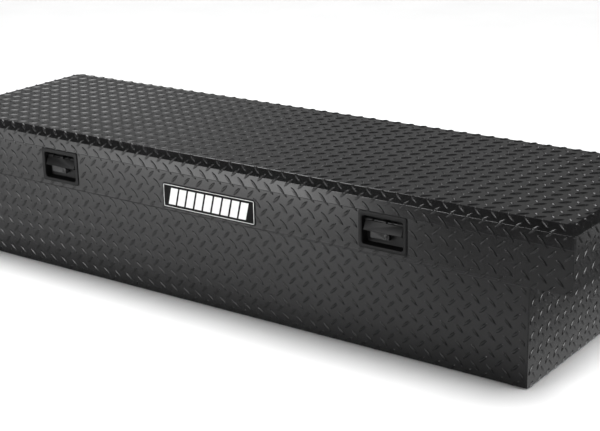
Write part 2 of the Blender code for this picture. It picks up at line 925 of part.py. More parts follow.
def make_low_bracket(side, sign, low, wall):
    """The plate on the tub's end, with the stud that the cylinder turns on."""
    half = BRACKET_SIZE / 2
    bracket = block(
        f"{side}_tub_bracket",
        (sign * (wall - BRACKET_SHEET), low.y - half, low.z - half),
        (sign * wall, low.y + half, low.z + half),
        steel,
    )
    join(
        bracket,
        rod_between(
            f"{side}_tub_stud",
            (sign * (wall - BRACKET_SHEET / 2), low.y, low.z),
            (low.x - sign * (EYE_WIDTH / 2 + STUD_END), low.y, low.z),
            STUD_RADIUS,
        ),
    )


def make_high_bracket(side, sign, high):
    """The lid's bracket, inboard of the strut, with the stud that the rod's eye meets."""
    half = BRACKET_SIZE / 2
    stud_end = high.x - sign * (EYE_WIDTH / 2 + FIT)
    face = stud_end - sign * STUD_LENGTH
    back = face - sign * BRACKET_SHEET
    top = PAN_Z - GAP
    bracket = block(
        f"{side}_lid_bracket",
        (back, high.y - half, high.z - EYE_RADIUS),
        (face, high.y + half, top),
        steel,
        (0, HINGE_Y, HINGE_Z),
    )
    join(
        bracket,
        block(
            f"{side}_lid_foot",
            (face - sign * BRACKET_SIZE / 2, high.y - half, top - BRACKET_SHEET),
            (face, high.y + half, top),
        ),
        rod_between(
            f"{side}_lid_stud",
            (face - sign * BRACKET_SHEET / 2, high.y, high.z),
            (stud_end, high.y, high.z),
            STUD_RADIUS,
        ),
    )


def make_badge():
    """The thin plate between the latches."""
    low = RAIL_Z + BADGE_RISE
    badge = block(
        "badge",
        (-BADGE_WIDTH / 2, FRONT_Y - GAP - BADGE_SHEET, low),
        (BADGE_WIDTH / 2, FRONT_Y - GAP, low + BADGE_HEIGHT),
        label,
    )
    soften(badge, BADGE_SHEET / 3)


make_tub()
make_wings()
make_bands()
make_rim()
make_lid_skin()
make_lid_inside()
make_hinge()
make_latches()
for strut_side, strut_sign in SIDES:
    make_strut(strut_side, strut_sign)
make_badge()
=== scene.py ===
"""The looks of the truck tool box: tread plate, latches, badge, hinge, struts and a plain studio.

Metres, +Z up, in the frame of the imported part. Places on the box are worked out from the CAD nodes.
"""

import json
import math

import bmesh
import bpy
import numpy as np
from mathutils import Matrix, Vector


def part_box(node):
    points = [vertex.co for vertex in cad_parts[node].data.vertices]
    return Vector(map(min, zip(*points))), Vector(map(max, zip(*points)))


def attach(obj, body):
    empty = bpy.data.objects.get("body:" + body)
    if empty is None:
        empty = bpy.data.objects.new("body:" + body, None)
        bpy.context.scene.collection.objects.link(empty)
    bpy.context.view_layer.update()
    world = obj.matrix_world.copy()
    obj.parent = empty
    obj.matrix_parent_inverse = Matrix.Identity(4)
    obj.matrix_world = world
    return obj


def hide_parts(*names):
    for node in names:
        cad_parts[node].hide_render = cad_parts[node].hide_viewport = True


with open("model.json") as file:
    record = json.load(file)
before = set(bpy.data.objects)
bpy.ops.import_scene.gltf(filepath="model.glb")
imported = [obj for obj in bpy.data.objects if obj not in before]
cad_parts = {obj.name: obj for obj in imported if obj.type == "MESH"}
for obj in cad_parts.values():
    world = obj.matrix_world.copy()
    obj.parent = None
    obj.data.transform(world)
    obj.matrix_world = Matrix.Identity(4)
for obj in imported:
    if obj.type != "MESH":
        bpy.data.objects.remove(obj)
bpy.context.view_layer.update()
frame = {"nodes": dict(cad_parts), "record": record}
NODES = frame["nodes"]

# ---- Tread pattern ---------------------------------------------------------------------------
PITCH_U = 0.0361  # between lugs of one slant, along the sheet
PITCH_V = 0.0358  # and across it
LUG_LENGTH = 0.0300
LUG_WIDTH = 0.0078
LUG_RISE = 0.0022
LUG_SINK = 0.0003  # base of a lug below the sheet's face
LUG_ALONG = 10  # mesh steps along a lug
LUG_ACROSS = 6  # mesh steps across it
LUG_TURN = math.radians(44)
LUG_REACH = LUG_LENGTH * 0.36  # half a turned lug's extent along either direction of the sheet
RISE_TAPER = 0.6  # powers that shape a lug: its height along it,
WIDTH_TAPER = 0.85  # its width along it,
RIDGE = 1.3  # and its section, where 1 is a plain roof
EDGE = 0.0008  # bare sheet at an edge

# ---- Sheets ----------------------------------------------------------------------------------
SHEET = 0.0016
FOLD_RADIUS = 0.0032
FOLD_STEPS = 6  # mesh steps round a fold
SKIRT_FLARE = math.radians(3)  # the skirt's foot stands out a little
TOP_CORNER = 0.014  # the lid's corner radius in plan, at the top face
SKIRT_CORNER = 0.007  # and at the skirt
CORNER_STEPS = 8
SHEARED = 0.0004  # rounding of a sheared edge
SIDES = ("left", "right")
FLAT_FROM = 20  # degrees: steeper edges stay sharp, so wide faces shade flat
FOLD_GUARD = 0.0006  # flat strip kept beside a round fold


# ---- Materials -------------------------------------------------------------------------------
class Shader:
    """A material's node tree with short calls for what the looks here share."""

    def __init__(self, name):
        self.material = bpy.data.materials.new(name)
        self.material.use_nodes = True
        self.nodes = self.material.node_tree.nodes
        self.links = self.material.node_tree.links
        self.surface = self.nodes["Principled BSDF"]
        self.place = self.nodes.new("ShaderNodeTexCoord").outputs["Object"]

    def set(self, **values):
        """Fixed values on the surface's sockets."""
        for name, value in values.items():
            self.surface.inputs[name.replace("_", " ")].default_value = value

    def noise(self, scale, detail=3.0, roughness=0.55):
        """Noise over the object, in cycles to the metre."""
        node = self.nodes.new("ShaderNodeTexNoise")
        node.inputs["Scale"].default_value = scale
        node.inputs["Detail"].default_value = detail
        node.inputs["Roughness"].default_value = roughness
        self.links.new(self.place, node.inputs["Vector"])
        return node.outputs["Fac"]

    def cells(self, scale, output="Distance"):
        """Voronoi cells over the object."""
        node = self.nodes.new("ShaderNodeTexVoronoi")
        node.inputs["Scale"].default_value = scale
        self.links.new(self.place, node.inputs["Vector"])
        return node.outputs[output]

    def ramp(self, factor, *stops):
        """A colour ramp through (position, value or colour) stops."""
        node = self.nodes.new("ShaderNodeValToRGB")
        points = node.color_ramp.elements
        while len(points) < len(stops):
            points.new(0.5)
        for point, (position, value) in zip(points, stops):
            point.position = position
            point.color = (value, value, value, 1) if isinstance(value, float) else (*value, 1)
        self.links.new(factor, node.inputs["Fac"])
        return node.outputs["Color"]

    def mix(self, factor, first, second, blend="MIX"):
        """Blend two colours."""
        node = self.nodes.new("ShaderNodeMix")
        node.data_type = "RGBA"
        node.blend_type = blend
        for socket, value in (("Factor_Float", factor), ("A_Color", first), ("B_Color", second)):
            place = next(s for s in node.inputs if s.identifier == socket)
            if isinstance(value, bpy.types.NodeSocket):
                self.links.new(value, place)
            elif isinstance(value, tuple):
                place.default_value = (*value, 1)
            else:
                place.default_value = value
        return next(s for s in node.outputs if s.identifier == "Result_Color")

    def edges(self, low=0.52, high=0.6):
        """Bright where the mesh is convex."""
        point = self.nodes.new("ShaderNodeNewGeometry").outputs["Pointiness"]
        return self.ramp(point, (low, 0.0), (high, 1.0))

    def colour(self, value):
        """Drive the base colour."""
        self.links.new(value, self.surface.inputs["Base Color"])

    def rough(self, value):
        """Drive the roughness."""
        self.links.new(value, self.surface.inputs["Roughness"])

    def bump(self, *layers):
        """Stack bumps of (height, strength, distance)."""
        normal = None
        for height, strength, distance in layers:
            node = self.nodes.new("ShaderNodeBump")
            node.inputs["Strength"].default_value = strength
            node.inputs["Distance"].default_value = distance
            self.links.new(height, node.inputs["Height"])
            if normal is not None:
                self.links.new(normal, node.inputs["Normal"])
            normal = node.outputs["Normal"]
        self.links.new(normal, self.surface.inputs["Normal"])


def powder_coat(name, dark, light, smooth, coarse, peel, specular=0.5):
    """Black powder coat: orange peel, cloudy gloss, and slightly paler edges and lug crests, partly
    edge wear and partly a painted highlight on the lug ridges.
    """
    look = Shader(name)
    cloud = look.ramp(look.noise(7.0), (0.3, (dark,) * 3), (0.72, (light, light, light * 1.03)))
    # Paler where the mesh is convex: edge wear, and also a painted highlight along the lug ridges.
    worn_and_ridge_highlight = look.mix(look.edges(), cloud, (light * 1.9, light * 1.9, light * 1.95))
    speck = look.ramp(look.noise(1400.0, 1.0), (0.62, 0.0), (0.76, 0.35))
    look.colour(look.mix(speck, worn_and_ridge_highlight, (light * 2.2, light * 2.2, light * 2.2)))
    look.rough(look.ramp(look.noise(24.0, 4.0), (0.25, smooth), (0.8, coarse)))
    look.bump(
        (look.noise(620.0, 2.0), peel, 0.00035),
        (look.noise(2600.0, 1.0), peel * 0.5, 0.0001),
    )
    look.set(Metallic=0.0, IOR=1.5, Specular_IOR_Level=specular)
    return look.material


def zinc_plate():
    """Bright zinc over steel: soft spangle, stains and a fine grain."""
    look = Shader("zinc_plate")
    dull, bright = (0.52, 0.53, 0.54), (0.68, 0.68, 0.67)
    spangle = look.ramp(look.cells(260.0, "Color"), (0.2, dull), (0.8, bright))
    stain = look.ramp(look.noise(30.0), (0.45, 0.0), (0.75, 0.35))
    look.colour(look.mix(stain, spangle, (0.42, 0.41, 0.38)))
    look.rough(look.ramp(look.noise(90.0, 4.0), (0.25, 0.24), (0.8, 0.42)))
    look.bump((look.noise(1100.0), 0.12, 0.0002), (look.noise(160.0), 0.08, 0.0004))
    look.set(Metallic=1.0)
    return look.material


def rod_chrome():
    """A strut rod's hard chrome with a cloudy tone and a fine grain."""
    look = Shader("rod_chrome")
    look.colour(look.ramp(look.noise(45.0), (0.3, (0.6, 0.6, 0.61)), (0.7, (0.72, 0.72, 0.73))))
    look.rough(look.ramp(look.noise(300.0), (0.3, 0.1), (0.75, 0.2)))
    look.bump((look.noise(1800.0), 0.05, 0.0001))
    look.set(Metallic=1.0)
    return look.material


def sponge_rubber():
    """Closed-cell rubber with its skin."""
    look = Shader("sponge_rubber")
    look.colour(look.ramp(look.noise(60.0), (0.3, (0.01, 0.01, 0.01)), (0.7, (0.02, 0.02, 0.021))))
    look.rough(look.ramp(look.noise(200.0), (0.3, 0.75), (0.7, 0.92)))
    look.bump((look.cells(1500.0), 0.35, 0.0003), (look.noise(120.0), 0.2, 0.0006))
    return look.material


def board_foam():
    """Rigid foam board, cut on its faces."""
    look = Shader("board_foam")
    look.colour(look.ramp(look.noise(18.0), (0.3, (0.57, 0.53, 0.4)), (0.7, (0.68, 0.64, 0.5))))
    look.rough(look.ramp(look.noise(150.0), (0.3, 0.82), (0.7, 0.96)))
    look.bump((look.cells(700.0), 0.5, 0.0006), (look.noise(60.0), 0.2, 0.001))
    return look.material


def badge_gloss(name, low, high, rough, specular=0.5):
    """Moulded badge plastic, or the paint on its raised bars."""
    look = Shader(name)
    look.colour(look.ramp(look.noise(50.0), (0.3, low), (0.7, high)))
    look.rough(look.ramp(look.noise(120.0), (0.3, rough), (0.75, rough + 0.1)))
    look.bump((look.noise(900.0), 0.05, 0.0001))
    look.set(Specular_IOR_Level=specular)
    return look.material


TREAD = powder_coat("tread_coat", 0.007, 0.011, 0.17, 0.25, 0.06)
SATIN = powder_coat("satin_coat", 0.008, 0.012, 0.26, 0.36, 0.06)
LATCH = powder_coat("latch_coat", 0.005, 0.008, 0.42, 0.52, 0.05, specular=0.22)
ZINC = zinc_plate()
CHROME = rod_chrome()
RUBBER = sponge_rubber()
FOAM = board_foam()
BADGE_BLACK = badge_gloss("badge_black", (0.002,) * 3, (0.004,) * 3, 0.45, specular=0.1)
BADGE_WHITE = badge_gloss("badge_white", (0.84, 0.84, 0.83), (0.92, 0.92, 0.92), 0.35)
SLOT_LOOKS = {
    "tread_plate": TREAD,
    "black_sheet": SATIN,
    # Black latch hardware; on the spindle and return spring above the paddle the black also stands in
    # for painted shade.
    "black_hardware": SATIN,
    "plated_steel": ZINC,
    "rubber": RUBBER,
    "foam": FOAM,
    "badge": BADGE_BLACK,
}
NODE_SLOTS = {part["node"]: part["material_slot"] for part in frame["record"]["subparts"]}


# ---- Mesh helpers ----------------------------------------------------------------------------
def object_of(name, mesh, look, body, node=None, sharp=38):
    """Link a mesh as a visible piece on a body, in place of a node if one is named."""
    thing = bpy.data.objects.new(name, mesh)
    bpy.context.scene.collection.objects.link(thing)
    mesh.materials.clear()
    mesh.materials.append(look)
    mesh.shade_smooth()
    mesh.set_sharp_from_angle(angle=math.radians(sharp))
    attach(thing, body)
    if node:
        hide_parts(node)
    return thing


def mesh_from(name, points, faces):
    """A mesh from points and faces with its normals facing out."""
    mesh = bpy.data.meshes.new(name)
    mesh.from_pydata([tuple(point) for point in points], [], faces)
    shape = bmesh.new()
    shape.from_mesh(mesh)
    bmesh.ops.recalc_face_normals(shape, faces=shape.faces)
    shape.to_mesh(mesh)
    shape.free()
    return mesh


def baked(mesh, *steps):
    """Apply modifiers to a mesh: each step is (type, settings)."""
    thing = bpy.data.objects.new("bake", mesh)
    bpy.context.scene.collection.objects.link(thing)
    for kind, settings in steps:
        step = thing.modifiers.new(kind, kind)
        for key, value in settings.items():
            setattr(step, key, value)
    graph = bpy.context.evaluated_depsgraph_get()
    result = bpy.data.meshes.new_from_object(thing.evaluated_get(graph))
    bpy.data.objects.remove(thing)
    return result


def rounded(mesh, width, segments=2, angle=35):
    """Round a mesh's hard edges."""
    settings = {
        "width": width,
        "segments": segments,
        "limit_method": "ANGLE",
        "angle_limit": math.radians(angle),
        "harden_normals": False,
        "miter_outer": "MITER_ARC",
    }
    return baked(mesh, ("BEVEL", settings))


def node_mesh(node):
    """A node's mesh as clean faces: flat regions joined and doubles merged."""
    shape = bmesh.new()
    shape.from_mesh(NODES[node].data)
    bmesh.ops.remove_doubles(shape, verts=shape.verts, dist=1e-6)
    bmesh.ops.dissolve_limit(
        shape, angle_limit=math.radians(1), verts=shape.verts, edges=shape.edges
    )
    mesh = bpy.data.meshes.new(node)
    shape.to_mesh(mesh)
    shape.free()
    return mesh


def body_of(node):
    """The body a node belongs to."""
    bodies = frame["record"]["behaviour"]["bodies"]
    return next(body for body, members in bodies.items() if node in members)


def dress(node, width, look=None, segments=2):
    """Replace a node by itself with rounded edges and its finish."""
    slot = NODE_SLOTS[node]
    shape = rounded(node_mesh(node), width, segments)
    look = look or SLOT_LOOKS[slot]
    return object_of(f"{node}_dressed", shape, look, body_of(node), node, FLAT_FROM)


def carve(mesh, *cutters):
    """Cut meshes out of a mesh."""
    tools = []
    steps = []
    for cutter in cutters:
        tool = bpy.data.objects.new("tool", cutter)
        bpy.context.scene.collection.objects.link(tool)
        tools.append(tool)
        steps.append(("BOOLEAN", {"operation": "DIFFERENCE", "solver": "EXACT", "object": tool}))
    result = baked(mesh, *steps)
    for tool in tools:
        bpy.data.objects.remove(tool)
    return result


def box_mesh(low, high):
    """A box between two corners."""
    ends = list(zip(low, high))
    points = [(x, y, z) for x in ends[0] for y in ends[1] for z in ends[2]]
    faces = [(0, 1, 3, 2), (4, 6, 7, 5), (0, 4, 5, 1), (2, 3, 7, 6), (0, 2, 6, 4), (1, 5, 7, 3)]
    return mesh_from("box", points, faces)


def ring_rect(half_a, half_b, radius, steps=4):
    """A rectangle with round corners as (a, b) points."""
    points = []
    corners = ((1, 1, 0), (-1, 1, 1), (-1, -1, 2), (1, -1, 3))
    for sign_a, sign_b, quarter in corners:
        for step in range(steps + 1):
            turn = (quarter + step / steps) * math.pi / 2
            points.append(
                (
                    sign_a * (half_a - radius) + radius * math.cos(turn),
                    sign_b * (half_b - radius) + radius * math.sin(turn),
                )
            )
    return points


def loft(name, rings, closed=False):
    """A skin over rings of equal count, capped at both ends or closed on itself."""
    count = len(rings[0])
    points = [point for ring in rings for point in ring]
    faces = []
    pairs = list(zip(range(len(rings)), range(1, len(rings))))
    if closed:
        pairs.append((len(rings) - 1, 0))
    for first, second in pairs:
        for here in range(count):
            after = (here + 1) % count
            low, high = first * count, second * count
            faces.append((low + here, low + after, high + after, high + here))
    if not closed:
        faces.append(tuple(range(count)))
        faces.append(tuple((len(rings) - 1) * count + here for here in range(count)))
    return mesh_from(name, points, faces)


def turned(axis_point, direction, profile, sides=32):
    """Rings of (distance along, radius) round an axis, for loft."""
    direction = Vector(direction).normalized()
    first = direction.orthogonal().normalized()
    second = direction.cross(first)
    rings = []
    for along, radius in profile:
        ring = []
        for side in range(sides):
            turn = math.tau * side / sides
            spoke = first * math.cos(turn) + second * math.sin(turn)
            ring.append(Vector(axis_point) + direction * along + spoke * radius)
        rings.append(ring)
    return rings


def joined(name, meshes):
    """Several meshes as one, left as separate shells."""
    shape = bmesh.new()
    for mesh in meshes:
        shape.from_mesh(mesh)
    result = bpy.data.meshes.new(name)
    shape.to_mesh(result)
    shape.free()
    return result


# ---- Tread lugs ------------------------------------------------------------------------------
def lug_shape():
    """Points and faces of one lug that lies along U: a pointed lens with a ridge along its back."""
    along = np.linspace(-1, 1, LUG_ALONG + 1)[1:-1]
    across = np.linspace(-1, 1, LUG_ACROSS + 1)
    points = []
    for place in along:
        taper = 1 - place**2
        for side in across:
            rise = LUG_RISE * taper**RISE_TAPER * (1 - abs(side) ** RIDGE)
            points.append(
                (
                    place * LUG_LENGTH / 2,
                    side * LUG_WIDTH / 2 * taper**WIDTH_TAPER,
                    rise if abs(side) < 1 else -LUG_SINK,
                )
            )
    rows = len(along)
    width = LUG_ACROSS + 1
    tip_low = len(points)
    tip_high = tip_low + 1
    points += [(-LUG_LENGTH / 2, 0, -LUG_SINK), (LUG_LENGTH / 2, 0, -LUG_SINK)]
    faces = []
    for row in range(rows - 1):
        for column in range(width - 1):
            here = row * width + column
            faces.append((here, here + width, here + width + 1, here + 1))
    last = (rows - 1) * width
    for column in range(width - 1):
        faces.append((tip_low, column, column + 1))
        faces.append((tip_high, last + column + 1, last + column))
    low_side = [row * width for row in range(rows)]
    high_side = [row * width + width - 1 for row in range(rows)]
    faces.append((tip_low, *high_side, tip_high, *reversed(low_side)))
    return np.array(points), faces


LUG_POINTS, LUG_FACES = lug_shape()


def repeats(first, pitch, low, high):
    """Places a pitch apart from a first one, on either side of it, that a lug inside can have."""
    start = math.ceil((low - LUG_REACH - first) / pitch)
    end = math.floor((high + LUG_REACH - first) / pitch)
    return [first + number * pitch for number in range(start, end + 1)]


def lattice(region, anchor):
    """Lug middles and turns over (u low, u high, v low, v high), through an anchor lug."""
    u_low, u_high, v_low, v_high = region
    lugs = []
    for shift, turn in ((0.0, -LUG_TURN), (0.5, LUG_TURN)):
        columns = repeats(anchor[0] + shift * PITCH_U, PITCH_U, u_low, u_high)
        rows = repeats(anchor[1] + shift * PITCH_V, PITCH_V, v_low, v_high)
        lugs += [(u, v, turn) for u in columns for v in rows]
    return lugs


def lug_arrays(lugs):
    """Flat (u, v, rise) points and faces of many lugs."""
    points = []
    faces = []
    for number, (u, v, turn) in enumerate(lugs):
        c, s = math.cos(turn), math.sin(turn)
        flat = LUG_POINTS.copy()
        flat[:, 0] = u + LUG_POINTS[:, 0] * c - LUG_POINTS[:, 1] * s
        flat[:, 1] = v + LUG_POINTS[:, 0] * s + LUG_POINTS[:, 1] * c
        points.append(flat)
        base = number * len(LUG_POINTS)
        faces += [tuple(base + corner for corner in face) for face in LUG_FACES]
    return np.concatenate(points), faces


def clipped(lugs, region):
    """Lugs that cross the region's edges, cut off there and closed."""
    points, faces = lug_arrays(lugs)
    mesh = bpy.data.meshes.new("clip")
    mesh.from_pydata(points.tolist(), [], faces)
    shape = bmesh.new()
    shape.from_mesh(mesh)
    u_low, u_high, v_low, v_high = region
    planes = (
        ((u_low, 0, 0), (-1, 0, 0)),
        ((u_high, 0, 0), (1, 0, 0)),
        ((0, v_low, 0), (0, -1, 0)),
        ((0, v_high, 0), (0, 1, 0)),
    )
    for place, outward in planes:
        geometry = shape.verts[:] + shape.edges[:] + shape.faces[:]
        cut = bmesh.ops.bisect_plane(
            shape, geom=geometry, plane_co=place, plane_no=outward, clear_outer=True, dist=1e-7
        )
        rim = [item for item in cut["geom_cut"] if isinstance(item, bmesh.types.BMEdge)]
        bmesh.ops.holes_fill(shape, edges=rim, sides=0)
    shape.verts.index_update()
    points = np.array([vertex.co[:] for vertex in shape.verts]).reshape(-1, 3)
    faces = [tuple(vertex.index for vertex in face.verts) for face in shape.faces]
    shape.free()
    return points, faces


def lug_mesh(name, region, anchor, place, skip=()):
    """The lugs of a region, put in space by place(points)."""
    u_low, u_high, v_low, v_high = region
    near = LUG_LENGTH / 2
    whole = []
    crossing = []
    for lug in lattice(region, anchor):
        u, v, _ = lug
        if any(a < u < b and c < v < d for a, b, c, d in skip):
            continue
        inside = u_low + near < u < u_high - near and v_low + near < v < v_high - near
        (whole if inside else crossing).append(lug)
    points = np.zeros((0, 3))
    faces = []
    for group, build in ((whole, lug_arrays), (crossing, lambda lugs: clipped(lugs, region))):
        if group:
            more, shapes = build(group)
            faces += [tuple(len(points) + corner for corner in face) for face in shapes]
            points = np.concatenate([points, more])
    mesh = bpy.data.meshes.new(name)
    mesh.from_pydata(place(points).tolist(), [], faces)
    mesh.validate()
    return mesh


def on_plane(origin, along, up):
    """Put flat points on a plane: u along one axis, v along another, rise out of it."""
    origin, along, up = np.array(origin), np.array(along, float), np.array(up, float)
    out = np.cross(along, up)

    def place(points):
        return origin + points[:, :1] * along + points[:, 1:2] * up + points[:, 2:] * out

    return place


# ---- Lid: folded tread plate -----------------------------------------------------------------
skin_low, skin_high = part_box("lid_skin")
LID_X = skin_high.x
LID_TOP = skin_high.z
SKIRT_LOW = skin_low.z
top_points = [v.co for v in NODES["lid_skin"].data.vertices if v.co.z > LID_TOP - SHEET / 4]
TOP_X = max(point.x for point in top_points)
TOP_Y = max(point.y for point in top_points)
BEVEL_OUT = LID_X - TOP_X
outer = [v.co for v in NODES["lid_skin"].data.vertices if v.co.x > LID_X - SHEET / 8]
BEVEL_LOW = max(point.z for point in outer)
BEVEL_DROP = LID_TOP - BEVEL_LOW
BEVEL_LEAN = math.atan2(BEVEL_DROP, BEVEL_OUT)
BEVEL_LENGTH = math.hypot(BEVEL_DROP, BEVEL_OUT)
SKIRT = BEVEL_LOW - SKIRT_LOW


def fold_profile():
    """The lid's edge as rows of (distance, out, drop, lean), with round folds."""
    rows = []
    tuck = SKIRT * math.tan(SKIRT_FLARE)
    upright = math.pi / 2 - SKIRT_FLARE
    corners = ((0.0, 0.0, 0.0, BEVEL_LEAN), (BEVEL_LENGTH, BEVEL_OUT - tuck, BEVEL_DROP, upright))
    before = 0.0
    for distance, out, drop, after in corners:
        reach = FOLD_RADIUS * math.tan((after - before) / 2)
        start_out = out - reach * math.cos(before)
        start_drop = drop - reach * math.sin(before)
        guard_out, guard_drop = FOLD_GUARD * math.cos(before), FOLD_GUARD * math.sin(before)
        rows.append(
            (distance - reach - FOLD_GUARD, start_out - guard_out, start_drop - guard_drop, before)
        )
        for step in range(FOLD_STEPS + 1):
            lean = before + (after - before) * step / FOLD_STEPS
            arc = FOLD_RADIUS * (math.sin(lean) - math.sin(before))
            rise = FOLD_RADIUS * (math.cos(before) - math.cos(lean))
            along = distance - reach + 2 * reach * step / FOLD_STEPS
            rows.append((along, start_out + arc, start_drop + rise, lean))
        end = rows[-1]
        guard_out, guard_drop = FOLD_GUARD * math.cos(after), FOLD_GUARD * math.sin(after)
        rows.append((end[0] + FOLD_GUARD, end[1] + guard_out, end[2] + guard_drop, after))
        before = after
    rows.append((BEVEL_LENGTH + SKIRT, BEVEL_OUT, BEVEL_DROP + SKIRT, upright))
    return np.array(rows)


FOLDS = fold_profile()


def folded(distance):
    """Out, drop and lean at distances past the top's edge; nothing happens before it."""
    values = [np.interp(distance, FOLDS[:, 0], FOLDS[:, column]) for column in (1, 2, 3)]
    flat = distance <= FOLDS[0, 0]
    values[0] = np.where(flat, distance, values[0])
    values[1] = np.where(flat, 0.0, values[1])
    values[2] = np.where(flat, 0.0, values[2])
    return values


def over_lid(points):
    """Lay flat points over the lid's top and down its bevels and skirts."""
    u, v, rise = points.T
    out_x, drop_x, lean_x = folded(np.abs(u) - TOP_X)
    out_y, drop_y, lean_y = folded(np.abs(v) - TOP_Y)
    x = np.sign(u) * (TOP_X + out_x + rise * np.sin(lean_x))
    y = np.sign(v) * (TOP_Y + out_y + rise * np.sin(lean_y))
    z = LID_TOP - drop_x - drop_y + rise * np.cos(lean_x) * np.cos(lean_y)
    return np.stack([x, y, z], axis=1)


def lid_skin_mesh():
    """The lid's sheet with round folds, closed underneath by its own inner face."""
    rings = []
    for _, out, drop, _ in FOLDS:
        rings.append((out, drop, 0.0))
    half = SHEET / 2
    low = BEVEL_DROP + SKIRT
    rings[-1] = (BEVEL_OUT, low - SHEARED, 0.0)
    rings.append((BEVEL_OUT - SHEARED, low, 0.0))
    rings.append((BEVEL_OUT - SHEET + SHEARED, low, 0.0))
    rings.append((BEVEL_OUT - SHEET, low - SHEARED, half))
    for _, out, drop, lean in reversed(FOLDS[:-1]):
        rings.append((out - SHEET * math.sin(lean), drop + SHEET * math.cos(lean), half))
    loops = []
    for out, drop, inward in rings:
        fall = min(drop / BEVEL_DROP, 1.0)
        radius = TOP_CORNER + (SKIRT_CORNER - TOP_CORNER) * fall - inward
        outline = ring_rect(TOP_X + out, TOP_Y + out, radius, CORNER_STEPS)
        loops.append([(x, y, LID_TOP - drop) for x, y in outline])
    return loft("lid_skin_folded", loops)


object_of("lid_skin_folded", lid_skin_mesh(), TREAD, "lid", "lid_skin", sharp=FLAT_FROM)

LID_ANCHOR = (0.2789, -0.2816)  # a lug's middle, on the sheet laid flat
GIRTH = BEVEL_LENGTH + SKIRT - EDGE
CORNER_CLEAR = 0.004  # lugs of two sides keep apart at a corner


def lid_lugs():
    """Lugs on the top, and on the bevel and skirt of each side."""
    top = lug_mesh(
        "lid_top_lugs",
        (-TOP_X + CORNER_CLEAR, TOP_X - CORNER_CLEAR, -TOP_Y - GIRTH, TOP_Y + GIRTH),
        LID_ANCHOR,
        over_lid,
    )
    object_of("lid_top_lugs", top, TREAD, "lid", sharp=70)
    ends = []
    for low, high in ((-TOP_X - GIRTH, -TOP_X + CORNER_CLEAR), (TOP_X - CORNER_CLEAR, TOP_X + GIRTH)):
        region = (low, high, -TOP_Y + CORNER_CLEAR, TOP_Y - CORNER_CLEAR)
        ends.append(lug_mesh("lid_end_lugs", region, LID_ANCHOR, over_lid))
    object_of("lid_end_lugs", joined("lid_end_lugs", ends), TREAD, "lid", sharp=70)


lid_lugs()

# ---- Tread panels ----------------------------------------------------------------------------
PANELS = (
    "lower_front_panel",
    "lower_rear_panel",
    "tub_floor",
    "left_end_panel",
    "right_end_panel",
    "left_wing_floor",
    "right_wing_floor",
    "left_wing_end",
    "right_wing_end",
    "front_band",
    "rear_band",
)
FRONT_ANCHOR = (0.2819, 0.2722)  # a lug's middle on the front, and on the ends
END_ANCHOR = (0.0, 0.018)
CORNER_BEND = 0.006  # bare strip where the tub's corner bends

for panel in PANELS:
    dress(panel, 0.0006)


def panel_lugs(node, side, region, anchor, skip=()):
    """Lugs on one face of a panel; side is the face's outward axis."""
    low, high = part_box(node)
    frames = {
        "-y": ((0, low.y, 0), (1, 0, 0), (0, 0, 1)),
        "+y": ((0, high.y, 0), (-1, 0, 0), (0, 0, 1)),
        "+x": ((high.x, 0, 0), (0, 1, 0), (0, 0, 1)),
        "-x": ((low.x, 0, 0), (0, -1, 0), (0, 0, 1)),
        "-z": ((0, 0, low.z), (1, 0, 0), (0, -1, 0)),
    }
    mesh = lug_mesh(f"{node}_lugs", region, anchor, on_plane(*frames[side]), skip)
    object_of(f"{node}_lugs", mesh, TREAD, "box", sharp=70)


def all_panel_lugs():
    """Lugs on every outer face of the box below the lid."""
    band_low, band_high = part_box("front_band")
    _, flat_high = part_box("lower_front_panel")
    leaf_low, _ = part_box("hinge_body_leaf")
    covers = []
    for node in ("badge", "left_latch_dish", "right_latch_dish"):
        low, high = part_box(node)
        covers.append((low.x, high.x, low.z, high.z))
    rail = band_low.z
    lip = SKIRT_LOW + EDGE
    wide = band_high.x - EDGE
    narrow = flat_high.x - CORNER_BEND
    panel_lugs("front_band", "-y", (-wide, wide, rail + EDGE, lip), FRONT_ANCHOR, covers)
    panel_lugs("lower_front_panel", "-y", (-narrow, narrow, EDGE, rail - EDGE), FRONT_ANCHOR)
    panel_lugs("rear_band", "+y", (-wide, wide, rail + EDGE, leaf_low.z - EDGE), FRONT_ANCHOR)
    panel_lugs("lower_rear_panel", "+y", (-narrow, narrow, EDGE, rail - EDGE), FRONT_ANCHOR)
    deep_low, deep_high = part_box("right_end_panel")
    front, rear = deep_low.y + CORNER_BEND, deep_high.y - CORNER_BEND
    for side, face in (("right", "+x"), ("left", "-x")):
        span = (front, rear) if side == "right" else (-rear, -front)
        panel_lugs(f"{side}_end_panel", face, (*span, EDGE, rail - EDGE), END_ANCHOR)
        panel_lugs(f"{side}_wing_end", face, (*span, rail + EDGE, lip), END_ANCHOR)
        low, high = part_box(f"{side}_wing_floor")
        region = (low.x + EDGE, high.x - EDGE, -high.y + EDGE, -low.y - EDGE)
        panel_lugs(f"{side}_wing_floor", "-z", region, (0.0, 0.0))
    low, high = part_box("tub_floor")
    region = (low.x + EDGE, high.x - EDGE, -high.y + EDGE, -low.y - EDGE)
    panel_lugs("tub_floor", "-z", region, (0.0, 0.0))


all_panel_lugs()


STRIP_PROUD = 0.0006
STRIP_TOP = SKIRT_LOW - 0.0003
STRIP_LOW = SKIRT_LOW - 0.0020
HINGE_CLEAR = 0.012  # the end strips stop this far short of the hinge
BEAD_PROUD = 0.0011
BEAD_HEIGHT = 0.0019


